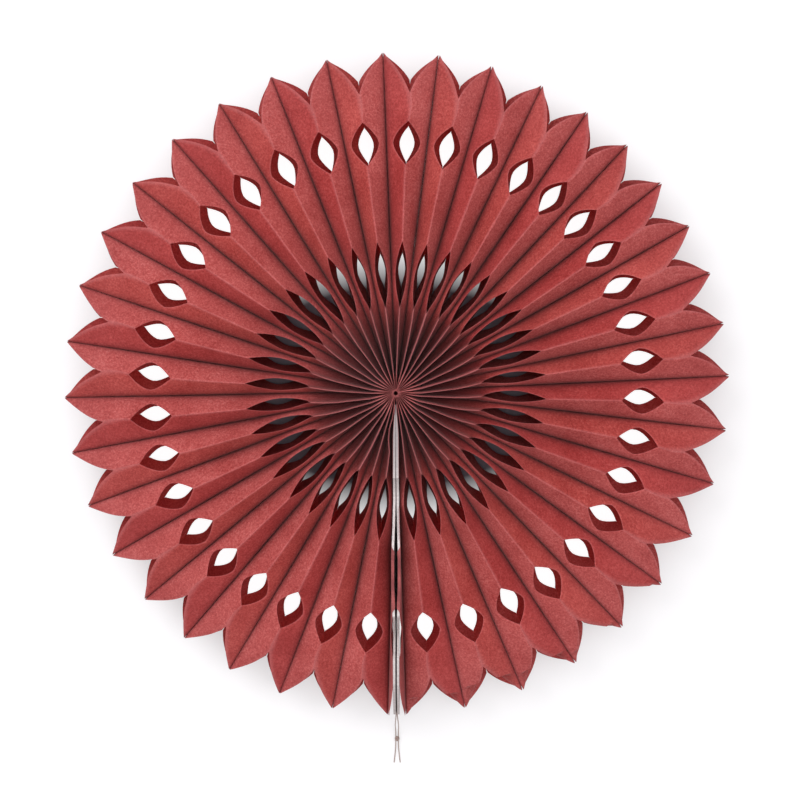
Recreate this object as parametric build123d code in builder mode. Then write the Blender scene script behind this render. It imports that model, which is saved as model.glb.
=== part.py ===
from build123d import *
from math import cos, degrees, hypot, pi, radians, sin, sqrt, tan
import os

# A round honeycomb paper fan, opened to a full circle and lying face up.
# The fan's axis is +Z, the seam with its card covers points along -Y, and the
# rear ridges rest on Z = 0. Angles run clockwise from the seam, seen from the front.

# Overall form
tip_radius = 150.0
inner_radius = 1.9
leaf_thickness = 0.12
sleeve_count = 37

# Height of the ridges over the glue strip at the rim of the widest sleeve
front_rise = 4.0
rear_rise = 9.0
glue_strip = 1.6
glue_film = 0.04

# Cross sections along a sleeve, closer to the rim, where the ridge falls faster
section_shares = (0, 0.19, 0.6, 1)
cut_margin = 1.0
flat_enough = 1e-6

# The fan is opened by hand, so its creases are spread a little unevenly
seam_angle = 1.87
opened_angle = 356.85
uneven = ((2.25, -1.72), (0.49, 1.35))

# Die-cut outline: radii along the leaf, and the share of the leaf that each cut takes.
# Each curved edge is made of a few straight strokes, because there are hundreds of them.
front_notch = tip_radius - 18.0
rear_notch = tip_radius - 10.5
tip_setback = 0.8
petal_bulge = 1.6
front_hole = (tip_radius - 49.5, tip_radius - 30.5, 0.64)
rear_hole = (tip_radius - 47.0, tip_radius - 31.0, 0.38)
front_slot = (39.5, 67.0, 0.61)
rear_slot = (46.5, 62.0, 0.38)
front_strokes = 4
rear_strokes = 3
petal_strokes = 3

# Seam
card_thickness = 1.2
card_start = 10.0
seam_gap = 0.6
seam_clearance = 0.1
inner_strip = (14.0, 62.0, 11.0)
outer_strip = (tip_radius - 26.0, tip_radius - 12.0, 8.0)

# Hanging thread: two strands that leave the seam one above the other, drop to the
# surface, pass side by side through a knot and end in two loose tails
thread_diameter = 0.5
thread_sides = 8
strand_offset = 0.3
knot_spread = 0.6
knot_width = 2.4
knot_height = 1.5
knot_length = 2.4
knot_edge = 0.3
knot_distance = tip_radius + 17.0
knot_clearance = 0.02
arc_share = 0.45


def crease_angle(index):
    """Angle of a glue line from the seam, in degrees."""
    share = index / sleeve_count
    angle = seam_angle + opened_angle * share
    for order, (sine, cosine) in enumerate(uneven, start=1):
        turn = 2 * pi * order * share
        angle += sine * sin(turn) + cosine * cos(turn)
    return angle


creases = [crease_angle(index) for index in range(sleeve_count + 1)]
widest_half = radians(max(b - a for a, b in zip(creases, creases[1:])) / 2)

# The slanted part of a leaf, from the glue strip to the fold, on each side
front_slant = hypot(tip_radius * tan(widest_half), front_rise)
rear_slant = hypot(tip_radius * tan(widest_half), rear_rise)
strip_half = glue_strip / 2
front_width = strip_half + front_slant
rear_width = strip_half + rear_slant
glue_height = rear_width

# Half the seam, from its middle to the outer face of a card cover
card_face = seam_gap / 2 + card_thickness
leaf_face = card_face + leaf_thickness
print(f"leaf {front_width:.2f} mm in front and {rear_width:.2f} mm behind the glue line")


def outward(angle):
    """Unit vector from the axis to the rim at a clockwise angle from the seam."""
    return Vector(-sin(radians(angle)), -cos(radians(angle)), 0)


def clockwise(angle):
    return Vector(-cos(radians(angle)), sin(radians(angle)), 0)


def section_plane(angle, radius):
    """Plane across the sleeve: X clockwise, Y up, at the glue line's height."""
    origin = outward(angle) * radius + Vector(0, 0, glue_height)
    return Plane(origin=origin, x_dir=clockwise(angle), z_dir=-outward(angle))


def side_plane(angle):
    """Plane through the axis and the ridge: X to the rim, Y up."""
    return Plane(origin=(0, 0, glue_height), x_dir=outward(angle), z_dir=clockwise(angle))


def ridge_height(slant, half_width):
    return strip_half + sqrt(slant**2 - half_width**2)


def cut_with_die(plane, front_height, rear_height, tip, reach):
    """Cut the petal outline, the holes and the slots out of the open part."""
    above = front_width + cut_margin
    below = rear_width + cut_margin
    beyond = tip_radius + cut_margin
    with BuildSketch(plane) as rim:
        with BuildLine():
            front = (front_notch, front_height(front_notch))
            rear = (rear_notch, -rear_height(rear_notch))
            point = (tip, -tip_setback)
            Polyline(*curved_edge(front, bulge_point(front, point, 1), point, petal_strokes))
            Polyline(*curved_edge(point, bulge_point(point, rear, -1), rear, petal_strokes))
            Polyline(rear, (rear_notch, -below), (beyond, -below), (beyond, above))
            Polyline((beyond, above), (front_notch, above), front)
        make_face()
    extrude(rim.sketch, amount=reach, both=True, mode=Mode.SUBTRACT)
    for start, end, share in (front_hole, front_slot):
        punch(plane, start, end, share, front_strokes, front_height, above, reach)
    for start, end, share in (rear_hole, rear_slot):
        punch(plane, start, end, share, rear_strokes, lambda radius: -rear_height(radius), -below, reach)


def curved_edge(start, middle, end, strokes):
    """Points of a few straight strokes along the arc through three points."""
    arc = ThreePointArc(start, middle, end, mode=Mode.PRIVATE)
    return [arc @ (stroke / strokes) for stroke in range(strokes + 1)]


def bulge_point(start, end, side):
    """Middle of a petal's convex side, with side 1 in front and -1 behind."""
    start, end = Vector(*start), Vector(*end)
    chord = end - start
    outside = Vector(abs(chord.Y), side * abs(chord.X), 0)
    return (start + end) * 0.5 + outside.normalized() * petal_bulge


def punch(plane, start, end, share, strokes, height, clear, reach):
    """Cut a half almond into an edge of the leaf, pointed where it meets the fold."""
    middle = (start + end) / 2
    edge = height(middle)
    strip = strip_half if edge > 0 else -strip_half
    depth = strip + (edge - strip) * (1 - share)
    with BuildSketch(plane) as almond:
        with BuildLine():
            first = (start, height(start))
            last = (end, height(end))
            Polyline(*curved_edge(first, (middle, depth), last, strokes))
            Polyline(last, (end, clear), (start, clear), first)
        make_face()
    extrude(almond.sketch, amount=reach, both=True, mode=Mode.SUBTRACT)


def sleeve_sides(index, radius):
    """Where a sleeve's two glue lines cross its section plane, ccw side first."""
    middle = (creases[index] + creases[index + 1]) / 2
    half = radians(creases[index + 1] - creases[index]) / 2
    side = radius * tan(half) - glue_film
    near, far = -side, side
    keep_off = leaf_face + seam_clearance
    turn = radians(middle)
    if index == 0:
        near = max(near, (keep_off - radius * sin(turn)) / cos(turn))
    if index == sleeve_count - 1:
        far = min(far, (-keep_off - radius * sin(turn)) / cos(turn))
    return near, far


def sleeve_start(index):
    """A sleeve beside the seam starts where it is clear of the card cover."""
    radius = inner_radius
    near, far = sleeve_sides(index, radius)
    while far - near < 2 * leaf_thickness:
        radius += leaf_thickness
        near, far = sleeve_sides(index, radius)
    return radius


def sleeve_ring(index, radius, wall):
    """Corners of the diamond section, with a short flat at each glue strip, inside a wall."""
    near, far = sleeve_sides(index, radius)
    middle = (near + far) / 2
    half = (far - near) / 2
    side = half - wall
    front = strip_half + (ridge_height(front_slant, half) - strip_half) * side / half
    rear = strip_half + (ridge_height(rear_slant, half) - strip_half) * side / half
    plane = section_plane((creases[index] + creases[index + 1]) / 2, radius)
    corners = (
        (middle, front),
        (middle + side, strip_half),
        (middle + side, -strip_half),
        (middle, -rear),
        (middle - side, -strip_half),
        (middle - side, strip_half),
    )
    return [plane.from_local_coords((x, y, 0)) for x, y in corners]


def folded_tube(rings):
    """Solid through rings of corners. A twisted side is folded from the ridge to the glue line."""
    faces = [Face(Wire.make_polygon(rings[0])), Face(Wire.make_polygon(rings[-1]))]
    ridges = (0, 3)
    for inner, outer in zip(rings, rings[1:]):
        for index in range(len(inner)):
            after = (index + 1) % len(inner)
            corners = [inner[index], inner[after], outer[after], outer[index]]
            if index not in ridges:
                corners = corners[1:] + corners[:1]
            a, b, c, d = corners
            twist = (b - a).cross(c - a).dot(d - a)
            if abs(twist) < flat_enough:
                faces.append(Face(Wire.make_polygon(corners)))
            else:
                faces.append(Face(Wire.make_polygon([a, b, c])))
                faces.append(Face(Wire.make_polygon([a, c, d])))
    return Solid(Shell(faces))


def stations(start):
    """Radii of a sleeve's cross sections."""
    return [start + (tip_radius - start) * share for share in section_shares]


def sleeve_ridge(index, slant):
    """Height of a sleeve's ridge over the glue line, as a function of the radius."""
    def height(radius):
        near, far = sleeve_sides(index, radius)
        return ridge_height(slant, (far - near) / 2)
    return height


def end_leaf_side(angle, radius):
    """Distance of an end leaf's glue line from the middle of the seam."""
    return max(leaf_face, radius * tan(radians(angle)) - glue_film)


def end_leaf_ring(side, angle, radius, wall):
    """Corners of the half diamond that stands on the card cover, inside a wall."""
    outer = end_leaf_side(angle, radius)
    kept = (outer - wall - card_face) / (outer - card_face)
    front = strip_half + (ridge_height(front_slant, outer - card_face) - strip_half) * kept
    rear = strip_half + (ridge_height(rear_slant, outer - card_face) - strip_half) * kept
    plane = section_plane(0, radius)
    corners = (
        (card_face, front),
        (outer - wall, strip_half),
        (outer - wall, -strip_half),
        (card_face, -rear),
    )
    return [plane.from_local_coords((side * x, y, 0)) for x, y in corners]


def thread_path(points):
    """Straight runs joined by tangent arcs as large as the runs allow."""
    points = [Vector(*point) for point in points]
    radii = []
    for before, corner, after in zip(points, points[1:], points[2:]):
        turn = radians((corner - before).get_angle(after - corner))
        shorter = min((corner - before).length, (after - corner).length)
        radii.append(arc_share * shorter / tan(turn / 2))
    print("thread bend radii", [round(radius, 1) for radius in radii])
    return points, radii


os.makedirs("parts", exist_ok=True)

for index in range(sleeve_count):
    middle_angle = (creases[index] + creases[index + 1]) / 2
    half_angle = radians(creases[index + 1] - creases[index]) / 2
    start = sleeve_start(index)
    hollow_start = start + 3 * leaf_thickness / tan(half_angle)
    with BuildPart() as sleeve:
        radii = stations(start)
        add(folded_tube([sleeve_ring(index, radius, 0) for radius in radii]))
        radii[0] = hollow_start
        add(
            folded_tube([sleeve_ring(index, radius, leaf_thickness) for radius in radii]),
            mode=Mode.SUBTRACT,
        )
        cut_with_die(
            side_plane(middle_angle),
            sleeve_ridge(index, front_slant),
            sleeve_ridge(index, rear_slant),
            tip_radius * cos(half_angle),
            front_width,
        )
    sleeve.part.label = f"sleeve_{index + 1:02d}"
    export_step(sleeve.part, f"parts/{sleeve.part.label}.step")

# The two sides of the seam: clockwise of it is the left, seen from the front
seam_sides = (("left", 1, creases[0]), ("right", -1, 360 - creases[-1]))

for name, side, angle in seam_sides:
    opening = (leaf_face + glue_film) / tan(radians(angle))
    hollow_start = opening + leaf_thickness / tan(radians(angle))
    with BuildPart() as end_leaf:
        radii = (card_start, opening, tip_radius)
        add(folded_tube([end_leaf_ring(side, angle, radius, 0) for radius in radii]))
        radii = (hollow_start, tip_radius)
        add(
            folded_tube([end_leaf_ring(side, angle, radius, leaf_thickness) for radius in radii]),
            mode=Mode.SUBTRACT,
        )
        # Between the slot and the hole the leaf is turned over the front edge of the card
        turned = side_plane(0).offset(side * (card_face + seam_gap / 2 + leaf_thickness) / 2)
        with BuildSketch(turned) as lap:
            with Locations(((front_slot[1] + front_hole[0]) / 2, front_width + leaf_thickness / 2)):
                Rectangle(front_hole[0] - front_slot[1], leaf_thickness)
        extrude(lap.sketch, amount=(card_thickness + leaf_thickness) / 2, both=True)
        flap = side_plane(0).offset(side * (card_face + leaf_thickness / 2))
        with BuildSketch(flap) as hem:
            with Locations(((front_slot[1] + front_hole[0]) / 2, front_width - strip_half)):
                Rectangle(front_hole[0] - front_slot[1], glue_strip)
        extrude(hem.sketch, amount=leaf_thickness / 2, both=True)
        cut_with_die(
            side_plane(0),
            lambda radius: ridge_height(front_slant, end_leaf_side(angle, radius) - card_face),
            lambda radius: ridge_height(rear_slant, end_leaf_side(angle, radius) - card_face),
            tip_radius,
            front_width,
        )
    end_leaf.part.label = f"end_leaf_{name}"
    export_step(end_leaf.part, f"parts/{end_leaf.part.label}.step")

    with BuildPart() as card_cover:
        with BuildSketch(side_plane(0).offset(side * (card_face - card_thickness / 2))) as outline:
            with Locations(((card_start + tip_radius) / 2, (front_width - rear_width) / 2)):
                Rectangle(tip_radius - card_start, front_width + rear_width)
        extrude(amount=card_thickness / 2, both=True)
        cut_with_die(
            side_plane(0), lambda radius: front_width, lambda radius: rear_width, tip_radius, front_width
        )
    card_cover.part.label = f"card_cover_{name}"
    export_step(card_cover.part, f"parts/{card_cover.part.label}.step")

for name, (start, end, height) in (("inner", inner_strip), ("outer", outer_strip)):
    with BuildPart() as adhesive_strip:
        with BuildSketch(side_plane(0)):
            with Locations(((start + end) / 2, 0)):
                Rectangle(end - start, height)
        extrude(amount=seam_gap / 2, both=True)
    adhesive_strip.part.label = f"adhesive_strip_{name}"
    export_step(adhesive_strip.part, f"parts/{adhesive_strip.part.label}.step")

# Route of each strand: side is -1 for the left strand, which starts above the right one
knot_middle = knot_height / 2
for name, side in (("left", -1), ("right", 1)):
    start_height = glue_height - side * strand_offset
    route = [
        (0, -outer_strip[1], start_height),
        (0, -tip_radius + 3.8, start_height),
        (side * 0.06, -tip_radius - 3.0, start_height - 2.8),
        (side * 0.78, -tip_radius - 7.3, 9.0 - side * 0.2),
        (side * 0.72, -tip_radius - 10.5, 3.6),
        (side * knot_spread, -knot_distance + 3.2, knot_middle),
        (side * knot_spread, -knot_distance - 3.2, knot_middle),
        (side * 0.95, -knot_distance - 7.6, 0.34),
        (side * 1.45, -knot_distance - 11.8, 0.3),
    ]
    points, radii = thread_path(route)
    with BuildPart() as strand:
        with BuildLine() as centre:
            FilletPolyline(*points, radius=radii)
        with BuildSketch(Plane(origin=centre.line @ 0, z_dir=centre.line % 0)) as section:
            RegularPolygon(thread_diameter / 2, thread_sides)
        sweep()
    expected = section.sketch.area * centre.wires()[0].length
    print(f"thread_{name} volume over section times length {strand.part.volume / expected:.3f}")
    strand.part.label = f"thread_{name}"
    export_step(strand.part, f"parts/{strand.part.label}.step")

with BuildPart() as thread_knot:
    with BuildSketch(Plane.XZ.offset(knot_distance)):
        with Locations((0, knot_middle)):
            SlotOverall(knot_width, knot_height)
    extrude(amount=knot_length / 2, both=True)
    ends = thread_knot.faces().filter_by(Axis.Y)
    chamfer(ends.edges(), length=knot_edge)
    with BuildSketch(Plane.XZ.offset(knot_distance)) as bore:
        with Locations((0, knot_middle)):
            bore_height = thread_diameter + 2 * knot_clearance
            SlotOverall(2 * knot_spread + bore_height, bore_height)
    extrude(bore.sketch, amount=knot_length, both=True, mode=Mode.SUBTRACT)
thread_knot.part.label = "thread_knot"
export_step(thread_knot.part, "parts/thread_knot.step")

print(f"{sleeve_count} sleeves, widest half angle {degrees(widest_half):.2f} degrees")
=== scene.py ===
import random
from math import cos, exp, hypot, pi, radians, sin, tan

import bpy
import numpy as np
from mathutils import Matrix, Vector


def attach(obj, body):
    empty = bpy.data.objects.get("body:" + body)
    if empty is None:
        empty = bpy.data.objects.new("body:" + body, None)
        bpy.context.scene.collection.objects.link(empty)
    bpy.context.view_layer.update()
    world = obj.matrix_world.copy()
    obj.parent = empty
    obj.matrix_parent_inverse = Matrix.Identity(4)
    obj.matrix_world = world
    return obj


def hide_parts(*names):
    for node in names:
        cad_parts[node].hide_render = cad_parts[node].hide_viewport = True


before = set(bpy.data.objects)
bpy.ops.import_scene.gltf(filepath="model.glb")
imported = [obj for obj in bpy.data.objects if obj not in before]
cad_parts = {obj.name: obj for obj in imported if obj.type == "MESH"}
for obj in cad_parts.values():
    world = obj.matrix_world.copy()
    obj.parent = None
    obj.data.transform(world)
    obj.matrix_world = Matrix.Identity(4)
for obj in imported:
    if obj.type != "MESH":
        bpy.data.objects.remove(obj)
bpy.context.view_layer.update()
mm = 0.001

# The fan: sizes in mm, angles in degrees clockwise from the seam, seen from the front
fan = {
    "tipRadius": 150.0,
    "innerRadius": 1.0,
    "sleeveCount": 37,
    "paper": 0.12,
    "frontRise": 4.0,
    "rearRise": 9.0,
    "glueStrip": 1.6,
    "glueFilm": 0.004,
    "seamAngle": 1.87,
    "openedAngle": 356.85,
    "uneven": ((2.25, -1.72), (0.49, 1.35)),
    "seamSwing": (0.75, 18.0),
}

# The die: where each cut starts and ends along the leaf, what share of the opened cell it bares,
# and how blunt the front slot's inner end is
die = {
    "frontNotch": 132.0,
    "rearNotch": 139.2,
    "petalBulge": 0.11,
    "frontHole": (100.5, 119.5, 0.66),
    "rearHole": (103.0, 119.0, 0.38),
    "frontSlot": (37.8, 67.0, 0.60, 2.3),
    "rearSlot": (46.5, 62.0, 0.38),
    "pointed": 1.6,
}

# Points along and across a leaf
grain = {
    "hub": 9,
    "hubCrowd": 1.3,
    "slot": 18,
    "ribbon": 8,
    "hole": 16,
    "bridge": 5,
    "petal": 15,
    "front": 16,
    "rear": 12,
    "bend": 180,
    "halvings": 24,
}

# How the soft paper departs from flat facets: lengths in mm, slopes in radians
drape = {
    "bendStart": 0.5,
    "bendLength": (3.0, 8.5),
    "bendPerSpare": 1.5,
    "steepest": 2.4,
    "widestShare": 0.965,
    "finFrom": (0.4, 0.75),
    "finRadii": (38.0, 78.0),
    "finShare": 0.93,
    "ridgeFold": 0.42,
    "roundFrom": 0.9,
    "foldCurl": (0.5, 0.0),
    "holeCurl": (1.3, 0.32),
    "petalCurl": (2.6, 0.55),
    "tipFlat": 6.0,
    "tipSpread": 0.45,
    "tipLoose": 2.6,
    "narrowest": 0.05,
}

# How the sleeves differ from each other: shifts of the ridge in mm
wander = {
    "waver": 0.3,
    "waverShare": (0.3, 1.0),
    "waverLength": 21.0,
    "waverFull": 60.0,
    "bridgeLean": (0.2, 1.5),
    "jitter": 0.28,
    "alternate": 0.12,
    "sag": 1.3,
    "hubEnd": (40.0, 13.0),
    "hubStart": (2.0, 9.0),
    "kink": {"shift": 1.5, "middle": 18.0, "reach": 5.5, "end": 21.6},
    "looseness": (0.1, 1.0),
    "leftLooseness": 0.5,
}

# Painted sheen on the front folds, cut edges and rim, and painted shade in the centre and the creases:
# amounts from 0 to 1, some as (radius, value) tables
paintedLight = {
    "amount": ((0, 0.66), (38, 0.66), (48, 0.36), (119, 0.34), (128, 0.4), (150, 0.4)),
    "width": ((0, 0.34), (119, 0.34), (132, 1.2)),
    "ease": 0.6,
    "sideWidth": (2.0, 0.8),
    "sideRadii": (60.0, 75.0),
    "rim": (0.07, 95.0, 45.0),
    "depth": (
        (0, 0.0), (4, 0.0), (4.5, 0.02), (8, 0.2), (11, 0.58), (18, 0.56), (27, 0.46),
        (34, 0.32), (40, 0.18), (58, 0.15), (70, 0.0), (126, 0.0), (150, 0.16),
    ),
    "ridgeBare": 0.32,
    "crease": (0.42, 1.3),
    "creaseFull": 40.0,
}

# Seam: the two card covers stand back to back, pinched at the centre and a little apart further out
seam = {
    "card": 1.1,
    "start": 5.0,
    "squeezed": (0.32, 15.0),
    "pinched": 0.04,
    "closing": (2.0, 14.0),
    "hubDrop": (1.5, 5.0),
    "softEdge": 0.12,
    "clearance": 0.06,
    "clearRadii": (2.0, 4.5),
    "leastGap": 0.01,
    "gap": (
        (0.0, 0.04), (12.0, 0.06), (36.0, 0.3), (50.0, 0.45), (60.0, 0.9), (72.0, 1.8),
        (88.0, 1.8), (99.0, 1.0), (108.0, 0.7), (150.0, 0.6),
    ),
    # Card darkening: painted shade towards the centre, between the tall ridges, and darker towards the rim
    "centreShadeRimDark": (
        (5, 0.78), (20, 0.74), (30, 0.58), (38, 0.3), (46, 0.05), (60, 0.0), (96, 0.0),
        (110, 0.1), (126, 0.28), (150, 0.42),
    ),
    "film": 0.03,
    "strips": {"inner": (14.0, 62.0, 11.0), "outer": (124.0, 138.0, 8.0)},
}

# Lap: the end leaf's hem over the card's front edge, with wavy edges and slanted ends
lap = {
    "setIn": 0.4,
    "rows": 25,
    "lift": 0.03,
    "skin": 0.02,
    "shoulder": 0.1,
    "outerHem": 1.2,
    "innerHem": 2.4,
    "crown": (0.05, 2.3),
    "hemWave": (0.3, 3.1),
    "slant": (5.0, 4.5),
    "paintedLight": 0.35,
    "dark": (0.3, 0.15, 2.7),
}

random.seed(12)


def easeIn(share):
    share = np.clip(share, 0, 1)
    return share * share * (3 - 2 * share)


def tableAt(r, table):
    return np.interp(r, *zip(*table))


def creaseAngle(index):
    share = index / fan["sleeveCount"]
    angle = fan["seamAngle"] + fan["openedAngle"] * share
    for order, (sine, cosine) in enumerate(fan["uneven"], start=1):
        turn = 2 * pi * order * share
        angle += sine * sin(turn) + cosine * cos(turn)
    return angle


def swung(angle):
    # The seam and its neighbours lie turned a little to one side
    swing, reach = fan["seamSwing"]
    return angle + swing * exp(-((min(angle, 360 - angle)) / reach) ** 2)


creases = [creaseAngle(index) for index in range(fan["sleeveCount"] + 1)]
widestHalf = radians(max(b - a for a, b in zip(creases, creases[1:])) / 2)
stripHalf = fan["glueStrip"] / 2
frontWidth = stripHalf + hypot(fan["tipRadius"] * tan(widestHalf), fan["frontRise"])
rearWidth = stripHalf + hypot(fan["tipRadius"] * tan(widestHalf), fan["rearRise"])
glueHeight = rearWidth
creases = [swung(angle) for angle in creases]


def gapAt(r):
    return tableAt(r, seam["gap"])


def squeezeAt(r):
    # Share of the card's thickness that is left where the fan's centre presses it
    tight, reach = seam["squeezed"]
    return tight + (1 - tight) * easeIn((r - seam["start"]) / reach)


def cardFace(r):
    return seam["card"] * squeezeAt(r) + gapAt(r) / 2


def swungBy(r):
    # How far the seam lies to the side of straight down
    return r * sin(radians(fan["seamSwing"][0]))


def outward(angle):
    return np.array([-sin(radians(angle)), -cos(radians(angle)), 0.0])


def clockwise(angle):
    return np.array([-cos(radians(angle)), sin(radians(angle)), 0.0])


def deselectAll():
    if bpy.context.object and bpy.context.object.mode != "OBJECT":
        bpy.ops.object.mode_set(mode="OBJECT")
    bpy.ops.object.select_all(action="DESELECT")


def pickOnly(piece):
    deselectAll()
    piece.select_set(True)
    bpy.context.view_layer.objects.active = piece


def joinPieces(pieces, name):
    pickOnly(pieces[0])
    for piece in pieces[1:]:
        piece.select_set(True)
    bpy.ops.object.join()
    joined = bpy.context.object
    joined.name = name
    return joined


def standFor(piece, node):
    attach(piece, "root")
    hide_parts(node)


# Camera: nearly above the fan, a little towards its top edge, in metres and degrees
view = {
    "distance": 0.68,
    "tilt": 5.55,
    "lean": -0.69,
    "roll": 0.76,
    "target": (0.0017, -0.0044, glueHeight * mm),
    "lens": 67.65,
    "sensor": 36,
}


def placeCamera():
    bpy.ops.object.camera_add()
    camera = bpy.context.object
    camera.name = "camera"
    camera.data.lens = view["lens"]
    camera.data.sensor_width = view["sensor"]
    turn = (
        Matrix.Rotation(radians(-view["tilt"]), 4, "X")
        @ Matrix.Rotation(radians(-view["lean"]), 4, "Y")
        @ Matrix.Rotation(radians(-view["roll"]), 4, "Z")
    )
    back = Matrix.Translation((0, 0, view["distance"]))
    camera.matrix_world = Matrix.Translation(view["target"]) @ turn @ back
    bpy.context.scene.camera = camera


placeCamera()
print("camera placed")


# Materials
def newMaterial(name):
    material = bpy.data.materials.new(name)
    material.use_nodes = True
    tree = material.node_tree
    tree.nodes.clear()
    output = tree.nodes.new("ShaderNodeOutputMaterial")
    shader = tree.nodes.new("ShaderNodeBsdfPrincipled")
    tree.links.new(shader.outputs["BSDF"], output.inputs["Surface"])
    return material, tree, shader, output


def noiseAt(tree, scale, detail, roughness=0.6):
    place = tree.nodes.new("ShaderNodeTexCoord")
    noise = tree.nodes.new("ShaderNodeTexNoise")
    noise.inputs["Scale"].default_value = scale
    noise.inputs["Detail"].default_value = detail
    noise.inputs["Roughness"].default_value = roughness
    tree.links.new(place.outputs["Object"], noise.inputs["Vector"])
    return noise.outputs["Fac"]


def colourRamp(tree, factor, stops):
    ramp = tree.nodes.new("ShaderNodeValToRGB")
    while len(ramp.color_ramp.elements) < len(stops):
        ramp.color_ramp.elements.new(0.5)
    for element, (place, colour) in zip(ramp.color_ramp.elements, stops):
        element.position = place
        element.color = (*colour, 1)
    tree.links.new(factor, ramp.inputs["Fac"])
    return ramp.outputs["Color"]


def shade(colour, amount):
    return tuple(channel * amount for channel in colour)


def tintedBy(tree, attribute, colour, tint):
    # A colour that turns to the tint where the mesh's own attribute is 1
    share = tree.nodes.new("ShaderNodeAttribute")
    share.attribute_name = attribute
    mixed = tree.nodes.new("ShaderNodeMix")
    mixed.data_type = "RGBA"
    mixed.inputs[7].default_value = (*tint, 1)
    tree.links.new(share.outputs["Fac"], mixed.inputs[0])
    tree.links.new(colour, mixed.inputs[6])
    return mixed.outputs[2]


def addBump(tree, shader, relief, strength, distance):
    bump = tree.nodes.new("ShaderNodeBump")
    bump.inputs["Strength"].default_value = strength
    bump.inputs["Distance"].default_value = distance
    tree.links.new(relief, bump.inputs["Height"])
    tree.links.new(bump.outputs["Normal"], shader.inputs["Normal"])
    return bump.outputs["Normal"]


def makePaper(name, dye, glow):
    # Dyed paper: cloudy dye, fine fibres, a dull surface that lets light through, with a painted sheen and a
    # painted shade taken from the mesh's attributes
    material, tree, shader, output = newMaterial(name)
    cloud = noiseAt(tree, 70, 3)
    fibre = noiseAt(tree, 1100, 6, 0.8)
    mixed = tree.nodes.new("ShaderNodeMix")
    mixed.inputs[0].default_value = 0.82
    tree.links.new(cloud, mixed.inputs[2])
    tree.links.new(fibre, mixed.inputs[3])
    cloudy = mixed.outputs[0]
    red, green, blue = dye
    soaked = (red * 0.5, green * 0.12, blue * 0.12)
    dusty = (red * 1.52, green * 2.5, blue * 2.5)
    dyed = colourRamp(tree, cloudy, [(0.33, soaked), (0.5, dye), (0.67, dusty)])
    # Painted sheen: paler and pinker on the front folds, cut edges and rim
    paintedSheen = tintedBy(tree, "paintedLight", dyed, (0.60, 0.235, 0.24))
    # Painted shade: darker where the mesh's shade share is high, in the centre and in the creases
    shadedColour = tintedBy(tree, "depth", paintedSheen, (0.105, 0.024, 0.036))
    tree.links.new(shadedColour, shader.inputs["Base Color"])
    shader.inputs["Roughness"].default_value = 0.7
    shader.inputs["Specular IOR Level"].default_value = 0.2
    shader.inputs["Sheen Weight"].default_value = 0.12
    shader.inputs["Sheen Roughness"].default_value = 0.5
    shader.inputs["Sheen Tint"].default_value = (1.0, 0.78, 0.76, 1)
    fuzzy = addBump(tree, shader, fibre, 0.35, 0.00006)
    glowing = colourRamp(tree, cloudy, [(0.3, shade(glow, 0.85)), (0.7, shade(glow, 1.15))])
    # The painted shade also dims the light let through the paper
    dimmed = tintedBy(tree, "depth", glowing, (0.02, 0.004, 0.006))
    through = tree.nodes.new("ShaderNodeBsdfTranslucent")
    tree.links.new(dimmed, through.inputs["Color"])
    tree.links.new(fuzzy, through.inputs["Normal"])
    both = tree.nodes.new("ShaderNodeMixShader")
    both.inputs["Fac"].default_value = 0.41
    tree.links.new(shader.outputs["BSDF"], both.inputs[1])
    tree.links.new(through.outputs["BSDF"], both.inputs[2])
    tree.links.new(both.outputs["Shader"], output.inputs["Surface"])
    return material


def makeCardboard():
    # Grey board: speckled pulp, with painted shade towards the centre and darker towards the rim
    material, tree, shader, output = newMaterial("greyBoard")
    pulp = noiseAt(tree, 1200, 6, 0.75)
    speckled = colourRamp(
        tree, pulp, [(0.3, (0.40, 0.355, 0.35)), (0.55, (0.60, 0.545, 0.54)), (0.75, (0.74, 0.68, 0.67))]
    )
    # Painted shade from the mesh's shade share
    tree.links.new(tintedBy(tree, "depth", speckled, (0.20, 0.165, 0.17)), shader.inputs["Base Color"])
    shader.inputs["Roughness"].default_value = 0.85
    addBump(tree, shader, pulp, 0.5, 0.0001)
    return material


def makeAdhesive():
    material, tree, shader, output = newMaterial("whiteAdhesive")
    smear = noiseAt(tree, 500, 3)
    colour = colourRamp(tree, smear, [(0.35, (0.6, 0.58, 0.57)), (0.65, (0.8, 0.79, 0.78))])
    tree.links.new(colour, shader.inputs["Base Color"])
    shader.inputs["Roughness"].default_value = 0.4
    return material


def makeThread():
    # Spun thread: thin slanted plies across the strand
    material, tree, shader, output = newMaterial("spunThread")
    place = tree.nodes.new("ShaderNodeTexCoord")
    ply = tree.nodes.new("ShaderNodeTexWave")
    ply.wave_type = "BANDS"
    ply.bands_direction = "DIAGONAL"
    ply.inputs["Scale"].default_value = 900
    ply.inputs["Distortion"].default_value = 1.5
    tree.links.new(place.outputs["Object"], ply.inputs["Vector"])
    colour = colourRamp(tree, ply.outputs["Fac"], [(0.2, (0.19, 0.12, 0.10)), (0.8, (0.40, 0.30, 0.27))])
    tree.links.new(colour, shader.inputs["Base Color"])
    shader.inputs["Roughness"].default_value = 0.7
    shader.inputs["Sheen Weight"].default_value = 0.3
    addBump(tree, shader, ply.outputs["Fac"], 0.6, 0.00008)
    return material


openSide = makePaper("paperOpenSide", (0.50, 0.089, 0.084), (0.66, 0.098, 0.095))
pressedSide = makePaper("paperPressedSide", (0.43, 0.0505, 0.048), (0.66, 0.098, 0.095))
pressedLight = makePaper("paperPressedLight", (0.462, 0.065, 0.057), (0.68, 0.10, 0.095))
greyBoard = makeCardboard()
whiteAdhesive = makeAdhesive()
spunThread = makeThread()
print("materials made")

# Thread: sizes in mm. Its route has the same points as the solids follow
thread = {
    "diameter": 0.5,
    "offset": 0.3,
    "stripEnd": 138.0,
    "knotMiddle": 0.75,
    "knotSpread": 0.6,
    "knotDistance": 167.0,
    "knotWidth": 2.4,
    "knotLength": 2.4,
    "bentShare": 0.985,
}

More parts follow.
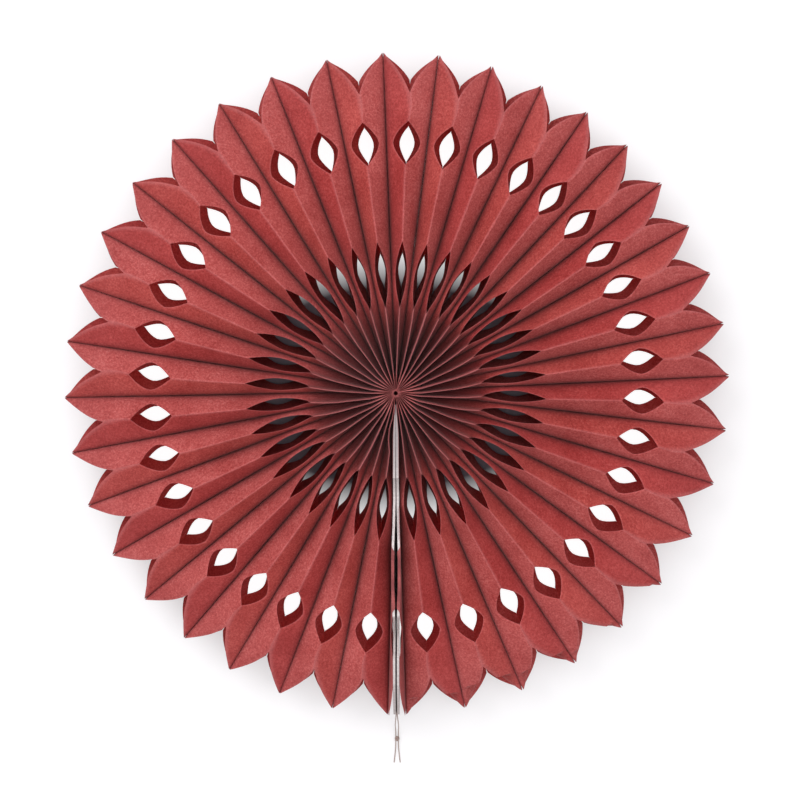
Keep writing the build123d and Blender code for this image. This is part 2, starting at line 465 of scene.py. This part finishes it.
# Knot: its turns, the points in a turn, how it narrows and flattens, and its cords' radii
knotWork = {
    "turns": 4,
    "points": 12,
    "narrowing": 0.3,
    "flatness": 0.6,
    "lift": 0.25,
    "turnRadius": 0.25,
    "acrossRadius": 0.23,
    "coreShare": 0.62,
    "across": (
        (0.9, 0.42, 0.0), (0.55, 0.25, 0.78), (0.0, 0.0, 0.86), (-0.55, -0.25, 0.78), (-0.9, -0.42, 0.0),
    ),
    "endLift": 0.1,
}


def strandRoute(side):
    start = glueHeight - side * thread["offset"]
    route = [
        (0, -thread["stripEnd"], start),
        (0, -146.2, start),
        (side * 0.3, -152.0, start - 2.2),
        (side * 0.78, -157.3, 9.0 - side * 0.2),
        (side * 0.78, -160.5, 3.6),
        (side * thread["knotSpread"], -163.8, thread["knotMiddle"]),
        (side * thread["knotSpread"], -170.2, thread["knotMiddle"]),
        (side * 0.95, -174.6, 0.34),
        (side * 1.45, -178.8, 0.3),
    ]
    return [(x - swungBy(-y), y, z) for x, y, z in route]


def makeCord(name, points, radius, steps):
    curve = bpy.data.curves.new(name, "CURVE")
    curve.dimensions = "3D"
    curve.bevel_depth = radius * mm
    curve.bevel_resolution = 4
    curve.resolution_u = steps
    curve.use_fill_caps = True
    spline = curve.splines.new("NURBS")
    spline.points.add(len(points) - 1)
    for point, (x, y, z) in zip(spline.points, points):
        point.co = (x * mm, y * mm, z * mm, 1)
    spline.order_u = 3
    spline.use_endpoint_u = True
    cord = bpy.data.objects.new(name, curve)
    bpy.context.collection.objects.link(cord)
    return cord


def makeKnot():
    # The two strands wound round themselves and drawn tight, with one turn lying across
    winding = (thread["knotWidth"] - thread["diameter"]) / 2
    length = thread["knotLength"] - thread["diameter"]
    steps = knotWork["turns"] * knotWork["points"]
    line = []
    for step in range(steps + 1):
        turn = 2 * pi * step / knotWork["points"]
        along = length * (step / steps - 0.5)
        bulge = winding * (1 - knotWork["narrowing"] * (2 * along / length) ** 2)
        line.append((bulge * cos(turn), along, bulge * knotWork["flatness"] * sin(turn)))
    across = [(winding * x, length * y, winding * z or knotWork["endLift"]) for x, y, z in knotWork["across"]]
    core = [(0, -length / 2, 0), (0, 0, 0), (0, length / 2, 0)]
    away = thread["knotDistance"]
    middle = (-swungBy(away), -away, thread["knotMiddle"] + knotWork["lift"])
    strands = (
        (line, knotWork["turnRadius"]),
        (across, knotWork["acrossRadius"]),
        (core, winding * knotWork["coreShare"]),
    )
    parts = []
    for points, radius in strands:
        moved = [[a + b for a, b in zip(point, middle)] for point in points]
        pickOnly(makeCord("knotTurn", moved, radius, 4))
        bpy.ops.object.convert(target="MESH")
        parts.append(bpy.context.object)
    knot = joinPieces(parts, "threadKnot")
    bpy.ops.object.shade_smooth()
    knot.data.materials.clear()
    knot.data.materials.append(spunThread)
    standFor(knot, "thread_knot")
    return knot


def makeStrand(name, side):
    strand = makeCord(name + "Strand", strandRoute(side), thread["diameter"] / 2, 16)
    strand.data.materials.append(spunThread)
    standFor(strand, name)


knot = makeKnot()
for name, side in (("thread_left", -1), ("thread_right", 1)):
    makeStrand(name, side)
print("thread laid")


# Paper leaves
def almond(r, start, end, share, blunt=die["pointed"]):
    # Share of the opened cell that a die-cut almond bares at each radius
    middle, half = (start + end) / 2, (end - start) / 2
    away = np.clip(np.abs(r - middle) / half, 0, 1)
    return share * (1 - away ** np.where(r < middle, blunt, die["pointed"]))


def petal(r, notch, tip):
    # Share of the opened cell that the petal still covers beyond its notch
    run = np.clip((r - notch) / (tip - notch), 0, 1)
    return 1 - run + die["petalBulge"] * np.sin(pi * run)


def coverage(r, tip, face):
    cuts = almond(r, *die[face + "Hole"]) + almond(r, *die[face + "Slot"])
    return np.minimum(1 - cuts, petal(r, die[face + "Notch"], tip))


def crowdedSteps(count):
    # Steps from 0 to 1, closer together at both ends
    return (1 - np.cos(np.linspace(0, pi, count + 1))) / 2


def alongLeaf(first, tip):
    # Radii of the leaf's rows, crowded at the points of the cuts
    slot, slotEnd = die["frontSlot"][:2]
    hole, holeEnd = die["frontHole"][:2]
    notch = die["frontNotch"]
    pieces = [
        first + (slot - first) * np.linspace(0, 1, grain["hub"]) ** grain["hubCrowd"],
        slot + (slotEnd - slot) * crowdedSteps(grain["slot"]),
        np.linspace(slotEnd, hole, grain["ribbon"]),
        hole + (holeEnd - hole) * crowdedSteps(grain["hole"]),
        np.linspace(holeEnd, notch, grain["bridge"]),
        notch + (tip - notch) * np.sin(np.linspace(0, pi / 2, grain["petal"])),
    ]
    return np.unique(np.round(np.concatenate(pieces), 4))


def runningSum(values, step):
    start = np.zeros((len(values), 1))
    return np.hstack([start, np.cumsum((values[:, 1:] + values[:, :-1]) / 2, axis=1)]) * step


def bendLeaf(radii, cover, steps, width, half):
    # Lateral run and rise of a bent leaf, cut where it would cover more of its half cell than given
    share = np.linspace(0, 1, grain["bend"] + 1)
    flat = share * width
    half = np.minimum(half, (width - stripHalf) * drape["widestShare"])
    spare = width - stripHalf - half
    bend = np.clip(spare * drape["bendPerSpare"], *drape["bendLength"])[:, None]
    lean = easeIn((flat[None, :] - drape["bendStart"]) / bend)
    upright = drape["finShare"] * (1 - easeIn((radii - drape["finRadii"][0]) / np.ptp(drape["finRadii"])))
    lean *= 1 - upright[:, None] * easeIn((share - drape["finFrom"][0]) / np.ptp(drape["finFrom"]))[None, :]
    rounded = np.clip(half / drape["roundFrom"], 0, 1)[:, None]
    fold = easeIn((flat - width) / drape["ridgeFold"] + 1)[None, :] * rounded

    # The slope that makes the leaf's run as long as its half cell is wide is found by halving
    low, high = np.zeros_like(half), np.full_like(half, drape["steepest"])
    for halving in range(grain["halvings"]):
        angle = (low + high) / 2
        slope = angle[:, None] * lean
        slope = slope + (pi / 2 - slope) * fold
        runs = runningSum(np.sin(slope), flat[1])
        short = runs[:, -1] < half
        low = np.where(short, angle, low)
        high = np.where(short, high, angle)
    rises = runningSum(np.cos(slope), flat[1])

    across = np.empty((len(half), len(steps)))
    rise = np.empty_like(across)
    cutWidth = np.full(len(half), width)
    uncut, growing = 0.9999, flat * 1e-6
    for row in range(len(half)):
        if cover[row] < uncut:
            cutWidth[row] = np.interp(cover[row] * half[row], runs[row] + growing, flat)
        across[row] = np.interp(steps * cutWidth[row], flat, runs[row])
        rise[row] = np.interp(steps * cutWidth[row], flat, rises[row])
    return across, rise, cutWidth


def giveShare(piece, name, values):
    share = piece.data.attributes.new(name, "FLOAT", "POINT")
    share.data.foreach_set("value", values.astype(np.float32))


def addGrid(columns, radii):
    # A sheet with a row of points for each radius, and the column and row of each point
    deselectAll()
    rows = len(radii) - 1
    bpy.ops.mesh.primitive_grid_add(x_subdivisions=columns, y_subdivisions=rows, size=2)
    sheet = bpy.context.object
    flat = np.empty(len(sheet.data.vertices) * 3)
    sheet.data.vertices.foreach_get("co", flat)
    flat = flat.reshape(-1, 3)
    column = np.rint((flat[:, 0] + 1) / 2 * columns).astype(int)
    line = np.rint((flat[:, 1] + 1) / 2 * rows).astype(int)
    return sheet, column, line


def placePoints(sheet, points):
    sheet.data.vertices.foreach_set("co", (points * mm).reshape(-1))
    sheet.data.update()


def addLeaf(angle, radii, crease, ridge, tip, wobble, sheenWidth=1.0, loose=1.0):
    # One die-cut leaf, from its rear edge over the glue line to its front edge
    split = grain["rear"]
    columns = grain["front"] + grain["rear"]
    leaf, column, line = addGrid(columns, radii)
    half = np.abs(ridge - crease)
    frontSteps, rearSteps = crowdedSteps(grain["front"]), crowdedSteps(grain["rear"])
    frontCover, rearCover = coverage(radii, tip, "front"), coverage(radii, tip, "rear")
    frontAcross, frontHeight, front = bendLeaf(radii, frontCover, frontSteps, frontWidth, half)
    rearAcross, rearHeight, rear = bendLeaf(radii, rearCover, rearSteps, rearWidth, half)
    toEdge = front[:, None] - np.outer(front, frontSteps)

    across = np.empty((len(radii), columns + 1))
    height = np.empty_like(across)
    across[:, split:] = frontAcross
    height[:, split:] = frontHeight
    across[:, :split + 1] = rearAcross[:, ::-1]
    height[:, :split + 1] = -rearHeight[:, ::-1]

    # Folds are round on top, and cut edges lie down a little
    roundness = np.tile(np.array(drape["foldCurl"]), (len(radii), 1))
    roundness[(frontCover < 0.98) & (radii < die["frontNotch"])] = drape["holeCurl"]
    holeEnd, notch = die["frontHole"][1], die["frontNotch"]
    beyond = np.clip((radii - holeEnd) / (notch - holeEnd), 0, 1)[:, None]
    roundness = roundness * (1 - beyond) + np.array(drape["petalCurl"]) * beyond
    edge = np.clip(1 - toEdge / roundness[:, :1], 0, 1) ** 2
    flatTip = np.clip((tip - radii) / drape["tipFlat"], 0, 1)[:, None]
    height[:, split:] -= edge * roundness[:, 1:] * flatTip

    spread = drape["tipSpread"] * loose * np.clip((radii - tip) / drape["tipLoose"] + 1, 0, 1) ** 2
    lateral = crease[:, None] + np.sign(ridge - crease)[:, None] * (across + spread[:, None])
    lateral += wobble(radii)[:, None] * (across / np.maximum(half, drape["narrowest"])[:, None])
    r = radii[line]
    placePoints(
        leaf,
        outward(angle)[None, :] * r[:, None]
        + clockwise(angle)[None, :] * lateral[line, column][:, None]
        + np.array([0, 0, 1.0])[None, :] * (glueHeight + height[line, column])[:, None],
    )

    # Painted sheen along the front fold, the cut edges and a little at the rim; painted shade in the centre
    # and in the crease, lighter on the sheened ridge
    reach = tableAt(radii, paintedLight["width"]) * np.interp(radii, paintedLight["sideRadii"], (1, sheenWidth))
    paintedSheen = np.zeros_like(across)
    paintedSheen[:, split:] = np.clip(1 - toEdge / reach[:, None], 0, 1) ** paintedLight["ease"]
    paintedSheen *= tableAt(radii, paintedLight["amount"])[:, None]
    most, rim, rimReach = paintedLight["rim"]
    paintedSheen = np.maximum(paintedSheen, most * easeIn((radii[:, None] - rim) / rimReach))
    giveShare(leaf, "paintedLight", paintedSheen[line, column])
    bare = 1 - paintedLight["ridgeBare"] * np.clip(paintedSheen[line, column] / paintedLight["amount"][0][1], 0, 1)
    inCentre = tableAt(r, paintedLight["depth"]) * bare
    inCrease = paintedLight["crease"][0] * np.exp(-across / paintedLight["crease"][1])
    inCrease[:, :split] = 0
    inCrease = inCrease[line, column] * np.clip(r / paintedLight["creaseFull"], 0, 1)
    giveShare(leaf, "depth", np.maximum(inCentre, inCrease))
    return leaf


def sleeveSides(index, r):
    # Where a sleeve's two glue lines cross its section, clear of the cards beside the seam
    middle = radians((creases[index] + creases[index + 1]) / 2)
    half = radians(creases[index + 1] - creases[index]) / 2
    side = r * tan(half) - fan["glueFilm"]
    near, far = -side, side
    start, run = seam["clearRadii"]
    clear = cardFace(r) + fan["paper"] + seam["clearance"]
    keepOff = clear * easeIn((r - start) / run) + seam["leastGap"]
    apart = middle - radians(fan["seamSwing"][0])
    if index == 0:
        near = np.maximum(near, (keepOff - r * sin(apart)) / cos(apart))
    if index == fan["sleeveCount"] - 1:
        far = np.minimum(far, (-keepOff - r * sin(apart)) / cos(apart))
    return near, far


def sleeveStart(index):
    r = fan["innerRadius"]
    while True:
        near, far = sleeveSides(index, np.array([r]))
        if far[0] - near[0] > fan["paper"]:
            return r
        r += fan["paper"]


def facesOutward(piece, joinedWithin=None):
    pickOnly(piece)
    bpy.ops.object.mode_set(mode="EDIT")
    bpy.ops.mesh.select_all(action="SELECT")
    if joinedWithin:
        bpy.ops.mesh.remove_doubles(threshold=joinedWithin * mm)
    bpy.ops.mesh.normals_make_consistent(inside=False)
    bpy.ops.object.mode_set(mode="OBJECT")


def giveWall(sheet, thickness):
    # Thickness behind the sheet's faces, less where its vertex group says so
    wall = sheet.modifiers.new("wall", "SOLIDIFY")
    wall.thickness = thickness * mm
    wall.offset = -1
    if sheet.vertex_groups:
        wall.vertex_group = sheet.vertex_groups[0].name
    bpy.ops.object.modifier_apply(modifier=wall.name)


def finishPaper(piece, node):
    facesOutward(piece, joinedWithin=0.02)
    giveWall(piece, fan["paper"])
    bpy.ops.object.shade_smooth_by_angle(angle=radians(40))
    standFor(piece, node)


def makeSleeve(index):
    angle = (creases[index] + creases[index + 1]) / 2
    tip = fan["tipRadius"] * cos(radians(creases[index + 1] - creases[index]) / 2)
    radii = alongLeaf(sleeveStart(index), tip)
    near, far = sleeveSides(index, radii)
    odd = index % 2
    phase = random.uniform(0, 2 * pi)
    reach = random.uniform(*wander["waverShare"]) * wander["waver"]
    lean = random.uniform(*wander["bridgeLean"])
    inner = random.uniform(-1, 1) * wander["jitter"] + (wander["alternate"] if odd else -wander["alternate"])
    looseness = random.uniform(*wander["looseness"]) * (1 if angle > 180 else wander["leftLooseness"])
    downhill = -wander["sag"] * sin(radians(angle))
    holeEnd, notch = die["frontHole"][1], die["frontNotch"]

    def wobble(r):
        # Sideways shift of the ridge: slow waves, a lean at the rim's bridge, and a sag near the hub
        waves = reach * np.sin(r / wander["waverLength"] + phase) * np.clip(r / wander["waverFull"], 0, 1)
        bridge = lean * np.exp(-((r - (holeEnd + notch) / 2) / ((notch - holeEnd) / 2)) ** 2)
        hubEnd, endRun = wander["hubEnd"]
        hubStart, startRun = wander["hubStart"]
        hub = easeIn((hubEnd - r) / endRun) * easeIn((r - hubStart) / startRun)
        shift = waves + bridge + (downhill + inner) * hub
        if index == 0:
            kink = wander["kink"]
            bent = np.exp(-((r - kink["middle"]) / kink["reach"]) ** 2)
            shift = shift + kink["shift"] * bent * (r < kink["end"])
        return shift

    leaves = []
    # Beyond 75 mm the near leaf's band of painted sheen is wider than the far leaf's
    sides = zip((near, far), (pressedLight if odd else pressedSide, openSide), paintedLight["sideWidth"])
    for crease, paper, sheenWidth in sides:
        leaf = addLeaf(angle, radii, crease, (near + far) / 2, tip, wobble, sheenWidth, looseness)
        leaf.data.materials.append(paper)
        leaves.append(leaf)
    sleeve = joinPieces(leaves, f"paperSleeve{index + 1:02d}")
    finishPaper(sleeve, f"sleeve_{index + 1:02d}")


for index in range(fan["sleeveCount"]):
    makeSleeve(index)
print("sleeves folded")


# Seam
def uprightSheet(radii, low, high, face, columns=8):
    # A sheet standing along the seam, with its lower and upper edge and its place given for each radius
    sheet, column, line = addGrid(columns, radii)
    r = radii[line]
    height = low[line] + (high - low)[line] * column / columns
    placePoints(sheet, np.column_stack([face(r, height) - swungBy(r), -r, glueHeight + height]))
    return sheet


def thicken(sheet, thickness, inward):
    facesOutward(sheet)
    if sheet.data.polygons[0].normal.x * inward > 0:
        sheet.data.flip_normals()
    giveWall(sheet, thickness)


def dieOutline(radii, face, width):
    # Height that the die leaves of an upright sheet
    cover = coverage(radii, fan["tipRadius"], face)
    return stripHalf + (width - stripHalf) * np.clip(cover, 0, 1)


def makeCover(name, side):
    radii = alongLeaf(seam["start"], fan["tipRadius"])
    drop, dropRun = seam["hubDrop"]
    high = dieOutline(radii, "front", frontWidth) - drop * (1 - easeIn((radii - seam["start"]) / dropRun))
    low = -dieOutline(radii, "rear", rearWidth)

    def face(r, height):
        top, run = seam["closing"]
        closing = (gapAt(r) - seam["pinched"]) / 2 * easeIn((top - height) / run)
        return -side * (cardFace(r) - closing)

    cover = uprightSheet(radii, low, high, face)
    pressed = cover.vertex_groups.new(name="pressed")
    for vertex in cover.data.vertices:
        pressed.add([vertex.index], float(squeezeAt(-vertex.co.y / mm)), "REPLACE")
    thicken(cover, seam["card"], side)
    # Painted shade towards the centre, and darker towards the rim
    fromHub = np.array([-vertex.co.y / mm for vertex in cover.data.vertices])
    giveShare(cover, "depth", tableAt(fromHub, seam["centreShadeRimDark"]))
    cover.name = "cardCover" + name.capitalize()
    cover.data.materials.append(greyBoard)
    soft = cover.modifiers.new("edges", "BEVEL")
    soft.width = seam["softEdge"] * mm
    soft.segments = 2
    soft.limit_method = "ANGLE"
    bpy.ops.object.modifier_apply(modifier=soft.name)
    standFor(cover, "card_cover_" + name)


def makeStrip(name, start, end, height):
    radii = np.linspace(start, end, 13)
    edge = np.full_like(radii, height / 2)
    strip = uprightSheet(radii, -edge, edge, lambda r, height: seam["film"] / 2 + 0 * r, 2)
    thicken(strip, seam["film"], 1)
    strip.name = "adhesiveStrip" + name.capitalize()
    strip.data.materials.append(whiteAdhesive)
    standFor(strip, "adhesive_strip_" + name)


def makeLap(side):
    # The end leaf turned over the card's front edge and down into the gap
    radii = np.linspace(die["frontSlot"][1] + lap["setIn"], die["frontHole"][0] - lap["setIn"], lap["rows"])
    paper, skin, shoulder = fan["paper"], lap["skin"], lap["shoulder"]
    outer, inner = cardFace(radii) + paper, gapAt(radii) / 2
    top = frontWidth + paper + lap["lift"] + 0 * radii
    wave, waveLength = lap["crown"]
    hem, hemLength = lap["hemWave"]
    path = [
        (outer + skin, frontWidth - lap["outerHem"] + 0 * radii),
        (outer + skin, frontWidth - shoulder + 0 * radii),
        (outer - shoulder, top),
        ((outer + inner) / 2, top + lap["lift"] + wave * np.sin(radii / waveLength)),
        (inner + skin, top),
        (inner - paper - skin, frontWidth - shoulder + 0 * radii),
        (inner - paper - skin, frontWidth - lap["innerHem"] + hem * np.sin(radii / hemLength + side)),
    ]
    columns = len(path) - 1
    sheet, column, line = addGrid(columns, radii)
    x = np.array([step[0] for step in path])[column, line]
    z = np.array([step[1] for step in path])[column, line]
    along = (radii[line] - radii[0]) / np.ptp(radii)
    slanted = lap["slant"][0] * (1 - along) ** 3 - lap["slant"][1] * along ** 3
    r = radii[line] + column / columns * slanted
    placePoints(sheet, np.column_stack([-side * x - swungBy(r), -r, glueHeight + z]))
    # The hem gets painted sheen all over, as the folds do
    giveShare(sheet, "paintedLight", np.full(len(line), lap["paintedLight"]))
    # Darker in slow waves along the hem
    middle, swell, length = lap["dark"]
    giveShare(sheet, "depth", middle + swell * np.sin(radii[line] / length + side))
    sheet.data.materials.append(openSide)
    return sheet


def makeEndLeaf(name, side, angle):
    # The leaf between the first glue line and the card cover
    swing = fan["seamSwing"][0]
    radii = alongLeaf(seam["start"], fan["tipRadius"])
    stand = cardFace(radii) + fan["paper"]
    glueLine = radii * tan(radians(angle - side * swing)) - fan["glueFilm"]
    crease = np.maximum(stand, glueLine) * side
    leaf = addLeaf(swing, radii, crease, stand * side, fan["tipRadius"], np.zeros_like)
    leaf.data.materials.append(openSide if side > 0 else pressedSide)
    piece = joinPieces([leaf, makeLap(side)], "endLeaf" + name.capitalize())
    finishPaper(piece, "end_leaf_" + name)


for name, side, angle in (("left", 1, creases[0]), ("right", -1, 360 - creases[-1])):
    makeEndLeaf(name, side, angle)
    makeCover(name, side)
for name, size in seam["strips"].items():
    makeStrip(name, *size)
print("seam made")

# Floor, light and background, in metres. The floor's glow keeps it white beyond the near shadow; under the
# fan's middle the floor is a painted shadow, and under the holes the glow is a painted light
floorLook = {
    "size": 8,
    "height": -0.0002,
    "glowStart": 0.074,
    "glowFull": 0.104,
    "squeeze": 1.6,
    "glow": ((0.124, 0.9), (0.138, 0.40), (0.19, 0.44), (0.34, 0.68)),
    "paintedShadowTone": (0.30, 0.285, 0.33),
    "shadowCatch": (0.49, 0.48, 0.495),
    "roomLight": 0.91,
}

lamps = {
    "softKey": {"place": (-0.75, 0.85, 0.95), "size": 0.9, "power": 10},
    "topFill": {"place": (0.25, 0.3, 1.5), "size": 1.4, "power": 8.5},
}


def anyOf(tree, rays):
    # Rays that look for the background: the camera's own, and those in gloss and glass
    total = rays.outputs["Is Camera Ray"]
    for kind in ("Is Glossy Ray", "Is Transmission Ray"):
        larger = tree.nodes.new("ShaderNodeMath")
        larger.operation = "MAXIMUM"
        tree.links.new(total, larger.inputs[0])
        tree.links.new(rays.outputs[kind], larger.inputs[1])
        total = larger.outputs["Value"]
    return total


def distanceFrom(tree, vector):
    apart = tree.nodes.new("ShaderNodeVectorMath")
    apart.operation = "LENGTH"
    tree.links.new(vector, apart.inputs[0])
    return apart.outputs["Value"]


def makeFloor():
    deselectAll()
    bpy.ops.mesh.primitive_plane_add(size=floorLook["size"], location=(0, 0, floorLook["height"]))
    floor = bpy.context.object
    floor.name = "floor"
    material, tree, shader, output = newMaterial("whiteFloor")
    shader.inputs["Base Color"].default_value = (0.86, 0.86, 0.87, 1)
    shader.inputs["Roughness"].default_value = 0.8
    rays = tree.nodes.new("ShaderNodeLightPath")
    place = tree.nodes.new("ShaderNodeTexCoord")
    squeezed = tree.nodes.new("ShaderNodeVectorMath")
    squeezed.operation = "MULTIPLY"
    squeezed.inputs[1].default_value = (1, floorLook["squeeze"], 1)
    tree.links.new(place.outputs["Object"], squeezed.inputs[0])
    # Painted shadow: under the fan's middle the glow fades out and the floor turns dark, over an ellipse that
    # leaves the left and right darker
    glow = tree.nodes.new("ShaderNodeMapRange")
    glow.inputs["From Min"].default_value = floorLook["glowStart"]
    glow.inputs["From Max"].default_value = floorLook["glowFull"]
    tree.links.new(distanceFrom(tree, squeezed.outputs["Vector"]), glow.inputs["Value"])
    tones = [(0, floorLook["paintedShadowTone"]), (1, floorLook["shadowCatch"])]
    tone = colourRamp(tree, glow.outputs["Result"], tones)
    shadowed = tree.nodes.new("ShaderNodeBsdfDiffuse")
    tree.links.new(tone, shadowed.inputs["Color"])
    # By distance, the glow is strongest under the holes, a painted light there, dips where the near shadow
    # falls and rises to white further out
    away = distanceFrom(tree, place.outputs["Object"])
    rim = colourRamp(tree, away, [(r, (level,) * 3) for r, level in floorLook["glow"]])
    strength = tree.nodes.new("ShaderNodeMath")
    strength.operation = "MULTIPLY"
    tree.links.new(glow.outputs["Result"], strength.inputs[0])
    tree.links.new(rim, strength.inputs[1])
    white = tree.nodes.new("ShaderNodeEmission")
    white.inputs["Color"].default_value = (1, 1, 1, 1)
    tree.links.new(strength.outputs["Value"], white.inputs["Strength"])
    added = tree.nodes.new("ShaderNodeAddShader")
    tree.links.new(shadowed.outputs["BSDF"], added.inputs[0])
    tree.links.new(white.outputs["Emission"], added.inputs[1])
    choice = tree.nodes.new("ShaderNodeMixShader")
    tree.links.new(anyOf(tree, rays), choice.inputs["Fac"])
    tree.links.new(shader.outputs["BSDF"], choice.inputs[1])
    tree.links.new(added.outputs["Shader"], choice.inputs[2])
    tree.links.new(choice.outputs["Shader"], output.inputs["Surface"])
    floor.data.materials.append(material)


def addLamp(name, place, size, power):
    # A soft square lamp that shines at the fan's middle
    bpy.ops.object.light_add(type="AREA", location=place)
    lamp = bpy.context.object
    lamp.name = name
    lamp.data.size = size
    lamp.data.energy = power
    lamp.rotation_euler = (-Vector(place)).to_track_quat("-Z", "Y").to_euler()


def makeRoom():
    world = bpy.data.worlds.new("paleRoom")
    bpy.context.scene.world = world
    world.use_nodes = True
    tree = world.node_tree
    background = tree.nodes["Background"]
    background.inputs["Color"].default_value = (1, 1, 1, 1)
    rays = tree.nodes.new("ShaderNodeLightPath")
    strength = tree.nodes.new("ShaderNodeMapRange")
    strength.inputs["To Min"].default_value = floorLook["roomLight"]
    strength.inputs["To Max"].default_value = 1
    tree.links.new(anyOf(tree, rays), strength.inputs["Value"])
    tree.links.new(strength.outputs["Result"], background.inputs["Strength"])


makeFloor()
for name, lamp in lamps.items():
    addLamp(name, **lamp)
makeRoom()
bpy.context.scene.view_settings.view_transform = "Standard"
print("room made")
